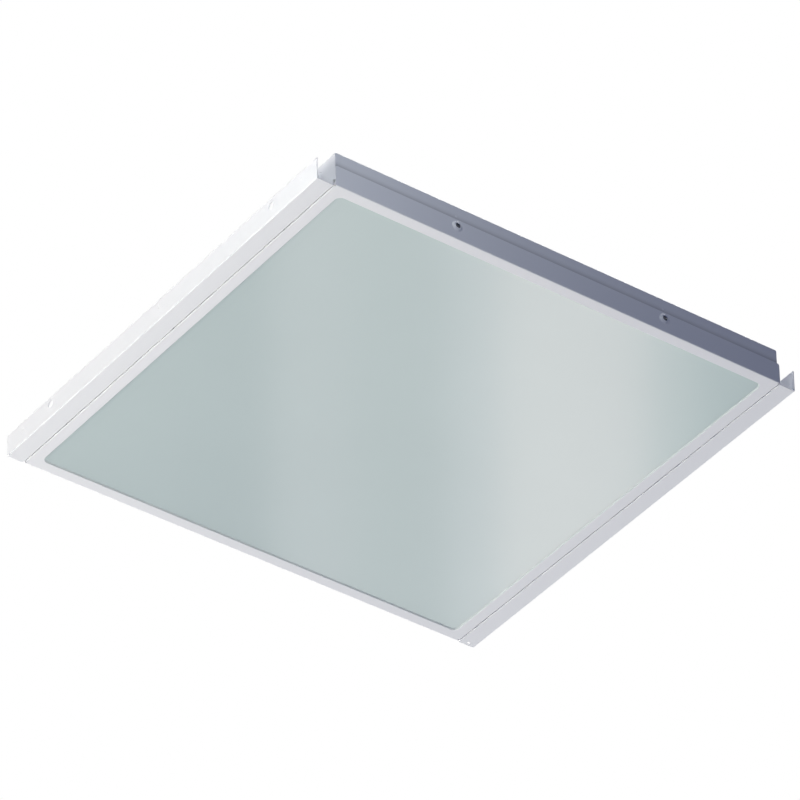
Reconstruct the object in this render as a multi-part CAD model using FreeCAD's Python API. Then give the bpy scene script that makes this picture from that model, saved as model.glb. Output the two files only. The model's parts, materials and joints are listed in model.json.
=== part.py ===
import FreeCAD, Part
import math
import os

# Recessed ceiling light with a hinged glass door, all sizes in millimetres.
# Origin: centre of the ceiling face. X runs across the two side rails, Y along them, Z up into the ceiling.

V = FreeCAD.Vector
UP = V(0, 0, 1)

# door: one folded sheet with a window
door_half_x = 301.4
door_half_y = 300.0
door_sheet = 1.0
door_wall_height = 26.8
door_wall_corner = 3.0
door_side_height = 5.0
door_bend = 1.1
window_margin = 14.0
window_corner = 8.0
corner_relief = 2.0

# snap bosses pressed outward in the door's near and far walls
boss_x = 140.6
boss_z = 18.0
boss_height = 1.6
boss_foot_r = 7.0
boss_top_r = 4.3
boss_hole_r = 3.25
boss_wall_shift = 0.4

# glass package on the door
glass_lap = 5.6
glass_thickness = 4.0
gasket_thickness = 0.4
diffuser_thickness = 2.0
retainer_sheet = 0.8
retainer_lap = 5.0
retainer_foot = 5.0
retainer_gap = 0.3
retainer_bend = 1.0
retainer_end_gap = 12.0
stud_clearance = 0.15
stud_r = 1.25
stud_height = 4.0
nut_across_flats = 5.0
nut_height = 2.0
studs_per_side = 4
stud_pitch = 120.0
nut_gap = 0.25

# housing: a shallow steel pan
pan_half_x = 299.5
pan_half_y = 297.8
pan_top = 47.3
pan_rim_z = 12.0
pan_rim_width = 8.0
pan_sheet = 0.8
pan_bend = 1.5

# side rails
rail_outer_x = 323.9
rail_inner_x = 302.1
rail_lip_height = 28.3
rail_leg_top = 45.5
rail_near_y = -297.6
rail_far_y = 300.6
rail_sheet = 0.8
rail_bend = 1.0
joggle_low_z = 7.0
joggle_high_z = 10.5
lip_hole_r = 4.5
lip_hole_y = 213.0
lip_hole_z = 18.3
dimple_r = 1.8
dimple_depth = 0.4
dimple_spacing = 268.7
tool_hole_r = 2.2
tool_hole_x = 313.5
tool_hole_y = 296.4
rail_rivet_count = 5
rail_rivet_pitch = 135.0
rail_rivet_z = 34.0
rivet_r = 1.6

# hinge along the left edge of the door
hinge_x = -297.3
hinge_z = 3.0
hinge_pin_r = 1.0
hinge_running_gap = 0.05
hinge_pitch = 210.0
hinge_leaf_length = 14.0
hinge_knuckle_length = 10.0
hinge_end_gap = 0.4
door_knuckle_r = 2.0
leaf_knuckle_r = 1.7
leaf_top_z = 26.0
leaf_sheet = 0.8
hinge_rivet_r = 1.2
hinge_rivet_z = 21.0
hinge_rivet_pitch = 7.0

# spring catches on the pan wall
catch_window_r = 6.5
catch_leaf_sheet = 0.4
catch_leaf_half = 7.0
catch_leaf_low_z = 11.9
catch_leaf_top_z = 37.0
catch_rivet_z = 33.0
catch_nub_reach = 0.5

# reflector and light boards
reflector_top_z = 39.0
reflector_sheet = 0.6
reflector_flat_half = 252.0
reflector_lip_half_x = 296.0
reflector_lip_half_y = 292.0
reflector_foot_half_x = 288.0
reflector_foot_half_y = 286.5
board_count = 4
board_pitch = 130.0
board_length = 470.0
board_width = 24.0
board_thickness = 1.0
board_rivet_x = 8.0
board_rivet_pitch = 140.0
connector_pole_x = 3.0
connector_z = 35.4
connector_set_back = 2.0
link_y = -240.0
clip_places = (-165.0, -95.0, -35.0, 35.0, 95.0, 165.0)
chips_per_board = 18
chip_pitch = 25.0
chip_height = 0.7

# gear box on the roof
box_half_x = 160.0
box_half_y = 48.0
box_height = 34.0
box_sheet = 0.8
lid_skirt = 8.0
lid_slot_count = 9
lid_slot_pitch = 10.0
lid_slot_width = 3.0
driver_length = 150.0
driver_width = 42.0
driver_height = 24.0
driver_x = -55.0
driver_pole_y = 12.0
terminal_x = 88.0
terminal_length = 22.0
terminal_width = 30.0
terminal_height = 17.0
pole_pitch = 9.0
button_roof = 1.2
gland_y = 0.0
gland_z = pan_top + 14.0
gland_thread_r = 8.0
gland_bore_r = 4.2
small_screw_r = 1.5
mains_wire_r = 0.9
light_wire_r = 0.7
wire_bend_r = 7.0
lead_z = 53.1
driver_lead_z = 56.1
grommet_x = -150.0
reflector_hole_x = -130.0
reflector_hole_r = 5.0
reflector_hole_y = -244.0
lid_screw_z = pan_top + box_height - 4.0
earth_x = 62.0
earth_y = 36.0
earth_bush_height = 3.6
tag_sheet = 0.8

# worked out from the sizes above
box_floor_z = pan_top + box_sheet
box_top_z = pan_top + box_height
glass_half_x = door_half_x - window_margin + glass_lap
glass_half_y = door_half_y - window_margin + glass_lap
glass_z = door_sheet + gasket_thickness
glass_top_z = glass_z + glass_thickness
diffuser_top_z = glass_top_z + diffuser_thickness
pan_inner_x = pan_half_x - pan_sheet
pan_inner_y = pan_half_y - pan_sheet
reflector_under_z = reflector_top_z - reflector_sheet


# ---------- small builders ----------

def block(x0, x1, y0, y1, z0, z1):
    return Part.makeBox(x1 - x0, y1 - y0, z1 - z0, V(x0, y0, z0))


def rod(radius, length, start, direction=UP):
    return Part.makeCylinder(radius, length, start, direction)


def fuse(shapes):
    body = shapes[0]
    if len(shapes) > 1:
        body = body.multiFuse(shapes[1:])
    return body.removeSplitter()


def cut(body, tools):
    return body.cut(Part.makeCompound(tools))


def mirror_x(shape):
    return shape.mirror(V(0, 0, 0), V(1, 0, 0))


def mirror_y(shape):
    return shape.mirror(V(0, 0, 0), V(0, 1, 0))


def moved(shape, x, y, z):
    copy = shape.copy()
    copy.translate(V(x, y, z))
    return copy


def rounded_plate(half_x, half_y, corner, z0, z1):
    plate = block(-half_x, half_x, -half_y, half_y, z0, z1)
    edges = [e for e in plate.Edges if abs(e.Vertexes[0].Z - e.Vertexes[1].Z) > 1e-6]
    return plate.makeFillet(corner, edges)


def hexagon(across_flats, height, bore_r, base, direction=UP, first_corner=0):
    radius = across_flats / math.sqrt(3)
    corners = []
    for k in range(7):
        turn = math.radians(60 * k + first_corner)
        corners.append(V(radius * math.cos(turn), radius * math.sin(turn), 0))
    prism = Part.Face(Part.makePolygon(corners)).extrude(V(0, 0, height))
    if bore_r > 0:
        prism = prism.cut(rod(bore_r, height + 2, V(0, 0, -1)))
    prism.Placement = FreeCAD.Placement(base, FreeCAD.Rotation(UP, direction))
    return prism


def screw(head_r, head_height, shank_r, shank_length, seat, inward):
    """A pan-head screw: the head's underside sits at seat and the shank runs inward."""
    outward = inward * -1
    head = rod(head_r, head_height, seat, outward)
    rims = [e for e in head.Edges if len(e.Vertexes) == 1]
    far_rim = max(rims, key=lambda e: (e.BoundBox.Center - seat).dot(outward))
    head = head.makeFillet(head_height * 0.4, [far_rim])
    shank = rod(shank_r, shank_length, seat, inward)
    top = seat + outward * head_height
    recess = hexagon(head_r * 0.8, head_height * 0.5, 0, top - outward * head_height * 0.5, outward)
    return fuse([head, shank]).cut(recess)


def folded_profile(points, sheet, bend, to_space):
    """Face of a bent sheet. points is one side of it; the metal lies to the left of the way along them."""
    count = len(points)
    steps = []
    for k in range(count - 1):
        du = points[k + 1][0] - points[k][0]
        dw = points[k + 1][1] - points[k][1]
        size = math.hypot(du, dw)
        steps.append((du / size, dw / size))
    base = [(points[0], None, None)]
    other = [((points[0][0] - steps[0][1] * sheet, points[0][1] + steps[0][0] * sheet), None, None)]
    for k in range(1, count - 1):
        before = steps[k - 1]
        after = steps[k]
        n1 = (-before[1], before[0])
        n2 = (-after[1], after[0])
        turns_left = before[0] * after[1] - before[1] * after[0] > 0
        side = 1.0 if turns_left else -1.0
        base_r = bend if turns_left else bend - sheet
        other_r = bend - sheet if turns_left else bend
        reach = side * base_r / (1 + n1[0] * n2[0] + n1[1] * n2[1])
        centre = (points[k][0] + (n1[0] + n2[0]) * reach, points[k][1] + (n1[1] + n2[1]) * reach)
        middle = (n1[0] + n2[0], n1[1] + n2[1])
        length = math.hypot(middle[0], middle[1])
        middle = (middle[0] / length, middle[1] / length)
        for line, radius in ((base, base_r), (other, other_r)):
            arc = []
            for n in (n1, middle, n2):
                arc.append((centre[0] - side * n[0] * radius, centre[1] - side * n[1] * radius))
            line.append(tuple(arc))
    base.append((points[-1], None, None))
    last = steps[-1]
    other.append(((points[-1][0] - last[1] * sheet, points[-1][1] + last[0] * sheet), None, None))

    edges = []
    for line in (base, other):
        at = line[0][0]
        for stop in line[1:]:
            edges.append(Part.LineSegment(to_space(*at), to_space(*stop[0])).toShape())
            at = stop[0]
            if stop[1] is not None:
                arc = Part.Arc(to_space(*stop[0]), to_space(*stop[1]), to_space(*stop[2]))
                edges.append(arc.toShape())
                at = stop[2]
    edges.append(Part.LineSegment(to_space(*base[0][0]), to_space(*other[0][0])).toShape())
    edges.append(Part.LineSegment(to_space(*base[-1][0]), to_space(*other[-1][0])).toShape())
    return Part.Face(Part.Wire(Part.__sortEdges__(edges)))


def fold_along_y(points, sheet, bend, y0, y1):
    face = folded_profile(points, sheet, bend, lambda u, w: V(u, y0, w))
    return face.extrude(V(0, y1 - y0, 0))


def fold_along_x(points, sheet, bend, x0, x1):
    face = folded_profile(points, sheet, bend, lambda u, w: V(x0, u, w))
    return face.extrude(V(x1 - x0, 0, 0))


def turned(outline, centre, axis_direction):
    """Solid of revolution: outline holds (radius, height) pairs about a line through centre."""
    corners = [V(r, 0, h) for r, h in outline]
    face = Part.Face(Part.makePolygon(corners + [corners[0]]))
    solid = face.revolve(V(0, 0, 0), UP, 360)
    solid = Part.Solid(solid) if solid.ShapeType != "Solid" else solid
    solid.Placement = FreeCAD.Placement(centre, FreeCAD.Rotation(UP, axis_direction))
    return solid


def wire_tube(points, radius, largest_bend=wire_bend_r):
    """Straight runs joined by tangent arcs, smaller than largest_bend only where a run is short."""
    edges = []
    at = points[0]
    for k in range(1, len(points) - 1):
        back = (points[k - 1] - points[k]).normalize()
        ahead = (points[k + 1] - points[k]).normalize()
        shorter = min(points[k].distanceToPoint(points[k - 1]), points[k].distanceToPoint(points[k + 1]))
        turn = math.pi - back.getAngle(ahead)
        trim = min(0.48 * shorter, largest_bend * math.tan(turn / 2))
        bend = trim / math.tan(turn / 2)
        first = points[k] + back * trim
        last = points[k] + ahead * trim
        bisector = (back + ahead).normalize()
        centre = points[k] + bisector * math.hypot(trim, bend)
        middle = centre - bisector * bend
        edges.append(Part.LineSegment(at, first).toShape())
        edges.append(Part.Arc(first, middle, last).toShape())
        at = last
    edges.append(Part.LineSegment(at, points[-1]).toShape())
    path = Part.Wire(edges)
    ring = Part.Wire([Part.Circle(points[0], (points[1] - points[0]).normalize(), radius).toShape()])
    tube = path.makePipeShell([ring], True, False)
    print("wire %.0f long, volume over section by length %.4f"
          % (path.Length, tube.Volume / (math.pi * radius ** 2 * path.Length)))
    return tube


def spread(count, pitch):
    return [(k - (count - 1) / 2) * pitch for k in range(count)]


# ---------- door ----------

def boss_ring(x, wall_sign):
    outline = [
        (boss_foot_r, 0),
        (boss_top_r, boss_height),
        (boss_hole_r, boss_height),
        (boss_hole_r, boss_height - door_sheet),
        (boss_top_r - boss_wall_shift, boss_height - door_sheet),
        (boss_foot_r - boss_wall_shift, -door_sheet),
        (boss_foot_r, -door_sheet),
    ]
    return turned(outline, V(x, wall_sign * door_half_y, boss_z), V(0, wall_sign, 0))


def hinge_places():
    return spread(3, hinge_pitch)


def tray_outline(half, height):
    return [(-half, height), (-half, 0), (half, 0), (half, height)]


def door_outline():
    """The shape seen along Y: bend radius at the two lower corners, larger at the walls' top ends."""
    box = block(-door_half_x, door_half_x, -door_half_y, door_half_y, 0, door_wall_height)
    along = [e for e in box.Edges if e.BoundBox.YLength > 1]
    low = [e for e in along if e.BoundBox.ZMax < 1]
    box = box.makeFillet(door_bend, low)
    high = [e for e in box.Edges if e.BoundBox.YLength > 1 and e.BoundBox.ZMin > door_wall_height - 0.01
            and e.BoundBox.XLength < 0.01]
    return box.makeFillet(door_wall_corner, high)


def glass_frame():
    side_limit = door_half_y - corner_relief
    across = tray_outline(door_half_x, door_side_height)
    plate = fold_along_y(across, door_sheet, door_bend, -side_limit, side_limit)
    along = tray_outline(door_half_y, door_wall_height)
    walls = fold_along_x(along, door_sheet, door_bend, -door_half_x, door_half_x)
    middle_y = side_limit - 1.0
    walls = walls.cut(block(-door_half_x, door_half_x, -middle_y, middle_y, -1, door_side_height))
    walls = walls.common(door_outline())
    body = fuse([plate, walls])
    window = rounded_plate(door_half_x - window_margin, door_half_y - window_margin, window_corner, -1, 3)
    tools = [window]
    for sx in (-1, 1):
        for sy in (-1, 1):
            notch_x = sx * (door_half_x - door_bend)
            notch_y = sy * (side_limit - 0.3)
            tools.append(rod(0.9, 3, V(notch_x, notch_y, -1)))
    for y in hinge_places():
        reach = hinge_leaf_length / 2 + 0.6
        tools.append(block(-door_half_x - 1, -door_half_x + door_bend, y - reach, y + reach, door_sheet, 9))
    for x in (-boss_x, boss_x):
        for sy in (-1, 1):
            start = V(x, sy * (door_half_y - 3), boss_z)
            tools.append(rod(boss_foot_r, 6, start, V(0, sy, 0)))
    body = cut(body, tools)
    rings = [boss_ring(x, sy) for x in (-boss_x, boss_x) for sy in (-1, 1)]
    return fuse([body] + rings)


def glass_pane():
    pane = rounded_plate(glass_half_x, glass_half_y, 4.0, glass_z, glass_top_z)
    flat = [e for e in pane.Edges if e.BoundBox.ZLength < 1e-6]
    return pane.makeChamfer(0.4, flat)


def opal_diffuser():
    return rounded_plate(glass_half_x, glass_half_y, 4.0, glass_top_z, diffuser_top_z)


def glass_gasket():
    outer = rounded_plate(glass_half_x, glass_half_y, 4.0, door_sheet, glass_z)
    hole_x = door_half_x - window_margin + 0.8
    hole_y = door_half_y - window_margin + 0.8
    return outer.cut(rounded_plate(hole_x, hole_y, window_corner, 0, 3))


def retainer_bar(glass_half, reach, fold):
    """A strip folded three ways: over the diffuser, down beside the glass, out along the frame."""
    wall = glass_half + retainer_gap
    outline = [
        (wall - retainer_lap, diffuser_top_z),
        (wall, diffuser_top_z),
        (wall, door_sheet),
        (wall + retainer_sheet + retainer_foot, door_sheet),
    ]
    return fold(outline, retainer_sheet, retainer_bend, -reach, reach)


def glass_retainer_right():
    bar = retainer_bar(glass_half_x, glass_half_y - retainer_end_gap, fold_along_y)
    return cut(bar, stud_rods("x", 1, stud_r + stud_clearance))


def glass_retainer_left():
    bar = mirror_x(retainer_bar(glass_half_x, glass_half_y - retainer_end_gap, fold_along_y))
    tools = stud_rods("x", -1, stud_r + stud_clearance)
    wall = glass_half_x + retainer_gap + retainer_sheet
    reach = hinge_leaf_length / 2 + hinge_end_gap + hinge_knuckle_length + 4
    for y in hinge_places():
        tools.append(block(-door_half_x, -wall, y - reach, y + reach, 0, 5))
    return cut(bar, tools)


def glass_retainer_far():
    bar = retainer_bar(glass_half_y, glass_half_x - retainer_end_gap, fold_along_x)
    return cut(bar, stud_rods("y", 1, stud_r + stud_clearance))


def glass_retainer_near():
    bar = mirror_y(retainer_bar(glass_half_y, glass_half_x - retainer_end_gap, fold_along_x))
    return cut(bar, stud_rods("y", -1, stud_r + stud_clearance))


def stud_places(side, sign):
    half = glass_half_x if side == "x" else glass_half_y
    across = sign * (half + retainer_gap + retainer_sheet + nut_across_flats / 2 + nut_gap)
    places = []
    for along in spread(studs_per_side, stud_pitch):
        if side == "x":
            places.append(V(across, along, door_sheet))
        else:
            places.append(V(along, across, door_sheet))
    return places


def stud_rods(side, sign, radius):
    return [rod(radius, stud_height, at) for at in stud_places(side, sign)]


def retainer_studs():
    studs = []
    for side in ("x", "y"):
        for sign in (-1, 1):
            studs += stud_rods(side, sign, stud_r)
    return Part.makeCompound(studs)


def retainer_nuts():
    nuts = []
    for side, first_corner in (("x", 30), ("y", 0)):
        for sign in (-1, 1):
            for at in stud_places(side, sign):
                base = at + V(0, 0, retainer_sheet)
                nuts.append(hexagon(nut_across_flats, nut_height, stud_r, base, UP, first_corner))
    return Part.makeCompound(nuts)


# ---------- hinge ----------

def door_hinge_knuckles():
    pieces = []
    for y in hinge_places():
        for sign in (-1, 1):
            near = y + sign * (hinge_leaf_length / 2 + hinge_end_gap)
            far = near + sign * hinge_knuckle_length
            y0, y1 = min(near, far), max(near, far)
            tube = rod(door_knuckle_r, y1 - y0, V(hinge_x, y0, hinge_z), V(0, 1, 0))
            foot = block(hinge_x - door_knuckle_r, hinge_x + door_knuckle_r, y0, y1, door_sheet, hinge_z)
            knuckle = fuse([tube, foot]).cut(rod(hinge_pin_r, y1 - y0, V(hinge_x, y0, hinge_z), V(0, 1, 0)))
            pieces.append(knuckle)
    return Part.makeCompound(pieces)


def hinge_pins():
    reach = hinge_leaf_length / 2 + hinge_end_gap + hinge_knuckle_length
    pins = []
    for y in hinge_places():
        pins.append(rod(hinge_pin_r, 2 * reach, V(hinge_x, y - reach, hinge_z), V(0, 1, 0)))
    return Part.makeCompound(pins)


def hinge_rivet_places():
    offsets = (-hinge_rivet_pitch / 2, hinge_rivet_pitch / 2)
    return [y + dy for y in hinge_places() for dy in offsets]


def hinge_leaves():
    leaves = []
    half = hinge_leaf_length / 2
    for y in hinge_places():
        plate = block(-pan_inner_x, -pan_inner_x + leaf_sheet, y - half, y + half, hinge_z, leaf_top_z)
        start = V(hinge_x, y - half, hinge_z)
        tube = rod(leaf_knuckle_r, 2 * half, start, V(0, 1, 0))
        tools = [rod(hinge_pin_r + hinge_running_gap, 2 * half, start, V(0, 1, 0))]
        for rivet_y in hinge_rivet_places():
            tools.append(rod(hinge_rivet_r, 3, V(-pan_inner_x - 1, rivet_y, hinge_rivet_z), V(1, 0, 0)))
        leaves.append(cut(fuse([plate, tube]), tools))
    return Part.makeCompound(leaves)


def hinge_rivets():
    rivets = []
    grip = pan_sheet + leaf_sheet
    for y in hinge_rivet_places():
        at = V(-pan_half_x, y, hinge_rivet_z)
        shank = rod(hinge_rivet_r, grip, at, V(1, 0, 0))
        inner_head = rod(2.2, 0.8, at + V(grip, 0, 0), V(1, 0, 0))
        outer_head = rod(2.0, 0.5, at, V(-1, 0, 0))
        rivets.append(fuse([shank, inner_head, outer_head]))
    return Part.makeCompound(rivets)


# ---------- housing ----------

def housing_pan():
    outer = block(-pan_half_x, pan_half_x, -pan_half_y, pan_half_y, pan_rim_z, pan_top)
    inner = block(-pan_inner_x, pan_inner_x, -pan_inner_y, pan_inner_y, pan_rim_z - 1, pan_top - pan_sheet)
    outer = outer.makeFillet(pan_bend, top_edges(outer))
    inner = inner.makeFillet(pan_bend - pan_sheet, top_edges(inner))
    rim = block(-pan_inner_x, pan_inner_x, -pan_inner_y, pan_inner_y, pan_rim_z, pan_rim_z + pan_sheet)
    hole_x = pan_inner_x - pan_rim_width
    hole_y = pan_inner_y - pan_rim_width
    rim = rim.cut(rounded_plate(hole_x, hole_y, 2.0, 0, 20))
    body = fuse([outer.cut(inner), rim])
    tools = hinge_leaf_slots() + catch_openings() + roof_holes()
    for sign in (-1, 1):
        for y in spread(rail_rivet_count, rail_rivet_pitch):
            tools.append(rod(rivet_r, 4, V(sign * (pan_half_x - 2), y, rail_rivet_z), V(sign, 0, 0)))
    return cut(body, tools)


def hinge_leaf_slots():
    """Slots in the rim that the hinge leaves drop through, and their rivet holes."""
    tools = []
    reach = hinge_leaf_length / 2 + 1.0
    for y in hinge_places():
        tools.append(block(-pan_inner_x, -pan_inner_x + 1.4, y - reach, y + reach, 0, pan_rim_z + 2))
    for y in hinge_rivet_places():
        tools.append(rod(hinge_rivet_r, 3, V(-pan_half_x - 1, y, hinge_rivet_z), V(1, 0, 0)))
    return tools


def catch_openings():
    """A notch, open at the bottom, for each catch's nub, and the hole of its rivet."""
    tools = []
    inner = pan_inner_y
    for x in (-boss_x, boss_x):
        low, high = x - catch_window_r, x + catch_window_r
        rim_reach = catch_leaf_half + 0.6
        far = [
            block(low, high, inner - 0.1, pan_half_y + 1, 0, boss_z),
            rod(catch_window_r, 2, V(x, inner - 0.1, boss_z), V(0, 1, 0)),
            block(x - rim_reach, x + rim_reach, inner - 1.5, inner, 0, pan_rim_z + pan_sheet),
            rod(rivet_r, 3, V(x, inner - 1, catch_rivet_z), V(0, 1, 0)),
        ]
        tools += far + [mirror_y(shape) for shape in far]
    return tools


def roof_holes():
    tools = [rod(6.0, 4, V(grommet_x, 0, pan_top - 2))]
    for x, y in standoff_places() + roof_screw_places():
        tools.append(rod(small_screw_r, 4, V(x, y, pan_top - 2)))
    return tools


def top_edges(solid):
    top = solid.BoundBox.ZMax
    return [e for e in solid.Edges if e.BoundBox.ZMin > top - 1e-6]


def side_rail_left():
    path = [
        (-rail_outer_x, rail_lip_height),
        (-rail_outer_x, 0),
        (-rail_inner_x, 0),
        (-rail_inner_x, joggle_low_z),
        (-pan_half_x, joggle_high_z),
        (-pan_half_x, rail_leg_top),
    ]
    rail = fold_along_y(path, rail_sheet, rail_bend, rail_near_y, rail_far_y)
    leg_end = block(-rail_inner_x - rail_bend, -pan_half_x + 1, pan_half_y, rail_far_y + 1, -1, pan_top)
    tools = [leg_end]
    for y in (-lip_hole_y, lip_hole_y):
        tools.append(rod(lip_hole_r, 3, V(-rail_outer_x - 1, y, lip_hole_z), V(1, 0, 0)))
    for y in spread(3, dimple_spacing):
        tools.append(Part.makeCone(dimple_r, 0.6, dimple_depth, V(-rail_outer_x, y, lip_hole_z), V(1, 0, 0)))
    for y in spread(rail_rivet_count, rail_rivet_pitch):
        tools.append(rod(rivet_r, 4, V(-pan_half_x - 2, y, rail_rivet_z), V(1, 0, 0)))
    for y in hinge_rivet_places():
        tools.append(rod(2.6, 3, V(-pan_half_x - 2, y, hinge_rivet_z), V(1, 0, 0)))
    return cut(rail, tools)


def side_rail_right():
    rail = mirror_x(side_rail_left())
    return rail.cut(rod(tool_hole_r, 4, V(tool_hole_x, tool_hole_y, -1)))


def rivet_head(at, outward):
    return turned([(0, 0), (3.2, 0), (2.8, 0.6), (1.7, 1.0), (0, 1.1)], at, outward)


def rail_rivets():
    rivets = []
    for sign in (-1, 1):
        for y in spread(rail_rivet_count, rail_rivet_pitch):
            outer = sign * (pan_half_x + rail_sheet)
            head = rivet_head(V(outer, y, rail_rivet_z), V(sign, 0, 0))
            shank = rod(rivet_r, 2.6, V(outer, y, rail_rivet_z), V(-sign, 0, 0))
            rivets.append(fuse([head, shank]))
    return Part.makeCompound(rivets)


def catch_springs(sign):
    """Spring leaves riveted inside the pan wall; each has a nub that sits in one of the door's bosses."""
    springs = []
    inner = pan_inner_y
    reach = door_half_y + catch_nub_reach - inner
    for x in (-boss_x, boss_x):
        leaf = block(x - catch_leaf_half, x + catch_leaf_half, inner - catch_leaf_sheet, inner,
                     catch_leaf_low_z, catch_leaf_top_z)
        leaf = leaf.cut(rod(rivet_r, 4, V(x, inner - 2, catch_rivet_z), V(0, 1, 0)))
        outline = [(0, 0), (5.9, 0), (5.9, 2.0), (4.1, 3.1), (3.2, reach - 0.1), (2.2, reach), (0, reach)]
        nub = turned(outline, V(x, inner, boss_z), V(0, 1, 0))
        springs.append(fuse([leaf, nub]))
    pair = Part.makeCompound(springs)
    return pair if sign > 0 else mirror_y(pair)


def catch_rivets():
    rivets = []
    for x in (-boss_x, boss_x):
        for sign in (-1, 1):
            at = V(x, sign * (pan_inner_y - catch_leaf_sheet), catch_rivet_z)
            head = rod(2.8, 0.8, at, V(0, -sign, 0))
            shank = rod(rivet_r, catch_leaf_sheet + pan_sheet, at, V(0, sign, 0))
            rivets.append(fuse([head, shank]))
    return Part.makeCompound(rivets)


def door_seal():
    """Foam strip under the pan's rim; it stands just clear of the glass retainers."""
    z0 = diffuser_top_z + retainer_sheet + 0.4
    outer = rounded_plate(pan_inner_x - 3.0, pan_inner_y - 2.4, 4.0, z0, pan_rim_z)
    return outer.cut(rounded_plate(pan_inner_x - 7.5, pan_inner_y - 6.9, 3.0, 0, 20))


# ---------- light source ----------

def standoff_places():
    return [(x, y) for x in spread(3, 165.0) for y in (-190.0, 190.0)]


def frustum(foot_x, foot_y, flat, z0, z1):
    rings = []
    for half_x, half_y, z in ((foot_x, foot_y, z0), (flat, flat, z1)):
        ring = [V(-half_x, -half_y, z), V(half_x, -half_y, z), V(half_x, half_y, z), V(-half_x, half_y, z)]
        rings.append(ring + [ring[0]])
    faces = [Part.Face(Part.makePolygon(ring)) for ring in rings]
    low, high = rings
    for k in range(4):
        side = [low[k], low[k + 1], high[k + 1], high[k], low[k]]
        faces.append(Part.Face(Part.makePolygon(side)))
    return Part.Solid(Part.Shell(faces))


def reflector():
    lip_z = pan_rim_z + pan_sheet
    outer = frustum(reflector_foot_half_x, reflector_foot_half_y, reflector_flat_half, lip_z, reflector_top_z)
    inner = frustum(reflector_foot_half_x - 0.9, reflector_foot_half_y - 0.9, reflector_flat_half - 0.4,
                    lip_z, reflector_under_z)
    lip = block(-reflector_lip_half_x, reflector_lip_half_x, -reflector_lip_half_y, reflector_lip_half_y,
                lip_z, lip_z + reflector_sheet)
    body = fuse([outer, lip]).cut(inner)
    tools = [rod(reflector_hole_r, 4, V(reflector_hole_x, reflector_hole_y, reflector_top_z - 2))]
    for x, y in standoff_places():
        tools.append(rod(small_screw_r, 4, V(x, y, reflector_top_z - 2)))
    return cut(body, tools)


def reflector_standoffs():
    height = pan_top - pan_sheet - reflector_top_z
    posts = []
    for x, y in standoff_places():
        posts.append(hexagon(7.0, height, small_screw_r, V(x, y, reflector_top_z)))
    return Part.makeCompound(posts)


def reflector_screws():
    screws = []
    for x, y in standoff_places():
        screws.append(screw(2.8, 1.6, small_screw_r, 4.0, V(x, y, reflector_under_z), UP))
    return Part.makeCompound(screws)


def roof_screw_places():
    """Screws that hold the gear box to the roof."""
    return [(x, y) for x in (-148.0, 148.0) for y in (-36.0, 36.0)]


def roof_screws():
    down = V(0, 0, -1)
    screws = []
    for x, y in standoff_places():
        screws.append(screw(2.8, 1.6, small_screw_r, 3.8, V(x, y, pan_top), down))
    for x, y in roof_screw_places():
        screws.append(screw(2.8, 1.6, small_screw_r, 4.0, V(x, y, box_floor_z), down))
    return Part.makeCompound(screws)


def led_board(x):
    top = reflector_under_z
    half = board_length / 2
    board = block(x - board_width / 2, x + board_width / 2, -half, half, top - board_thickness, top)
    upright = [e for e in board.Edges if e.BoundBox.ZLength > 0.5]
    board = board.makeFillet(1.5, upright)
    tools = [rod(rivet_r, 4, V(x + board_rivet_x, y, top - 3)) for y in spread(4, board_rivet_pitch)]
    return cut(board, tools)


def board_rivets():
    rivets = []
    for x in spread(board_count, board_pitch):
        for y in spread(4, board_rivet_pitch):
            at = V(x + board_rivet_x, y, reflector_under_z - board_thickness)
            shank = rod(rivet_r, board_thickness, at)
            rivets.append(fuse([rivet_head(at, V(0, 0, -1)), shank]))
    return Part.makeCompound(rivets)


def led_chips():
    top = reflector_under_z - board_thickness
    chips = []
    for x in spread(board_count, board_pitch):
        for y in spread(chips_per_board, chip_pitch):
            chips.append(block(x - 1.75, x + 1.75, y - 1.5, y + 1.5, top - chip_height, top))
    return Part.makeCompound(chips)


def board_connectors():
    top = reflector_under_z - board_thickness
    near = -board_length / 2
    housings = []
    for x in spread(board_count, board_pitch):
        body = block(x - 6, x + 6, near + connector_set_back, near + 10, top - 4.0, top)
        tools = []
        for dx in (-connector_pole_x, connector_pole_x):
            tools.append(rod(light_wire_r, 6, V(x + dx, near + 1, connector_z), V(0, 1, 0)))
        housings.append(cut(body, tools))
    return Part.makeCompound(housings)


def board_end(k, side):
    """A point inside a pole of board k's connector."""
    x = spread(board_count, board_pitch)[k] + side * connector_pole_x
    return V(x, -board_length / 2 + connector_set_back + 4.0, connector_z)


def board_links():
    """Leads that join one board to the next in a chain."""
    links = []
    for k in range(board_count - 1):
        start = board_end(k, 1)
        stop = board_end(k + 1, -1)
        points = [start, V(start.x, link_y, connector_z), V(stop.x, link_y, connector_z), stop]
        links.append(wire_tube(points, light_wire_r))
    return Part.makeCompound(links)


def wire_clips():
    """Clips under the reflector that the leads run through."""
    clips = []
    for x in clip_places:
        body = block(x - 3, x + 3, reflector_hole_y - 2.6, link_y + 2.6, connector_z - 1.9, reflector_under_z)
        tools = []
        for y in (link_y, reflector_hole_y):
            tools.append(rod(light_wire_r + 0.05, 8, V(x - 4, y, connector_z), V(1, 0, 0)))
        clips.append(cut(body, tools))
    return Part.makeCompound(clips)


# ---------- gear box on the roof ----------

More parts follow.
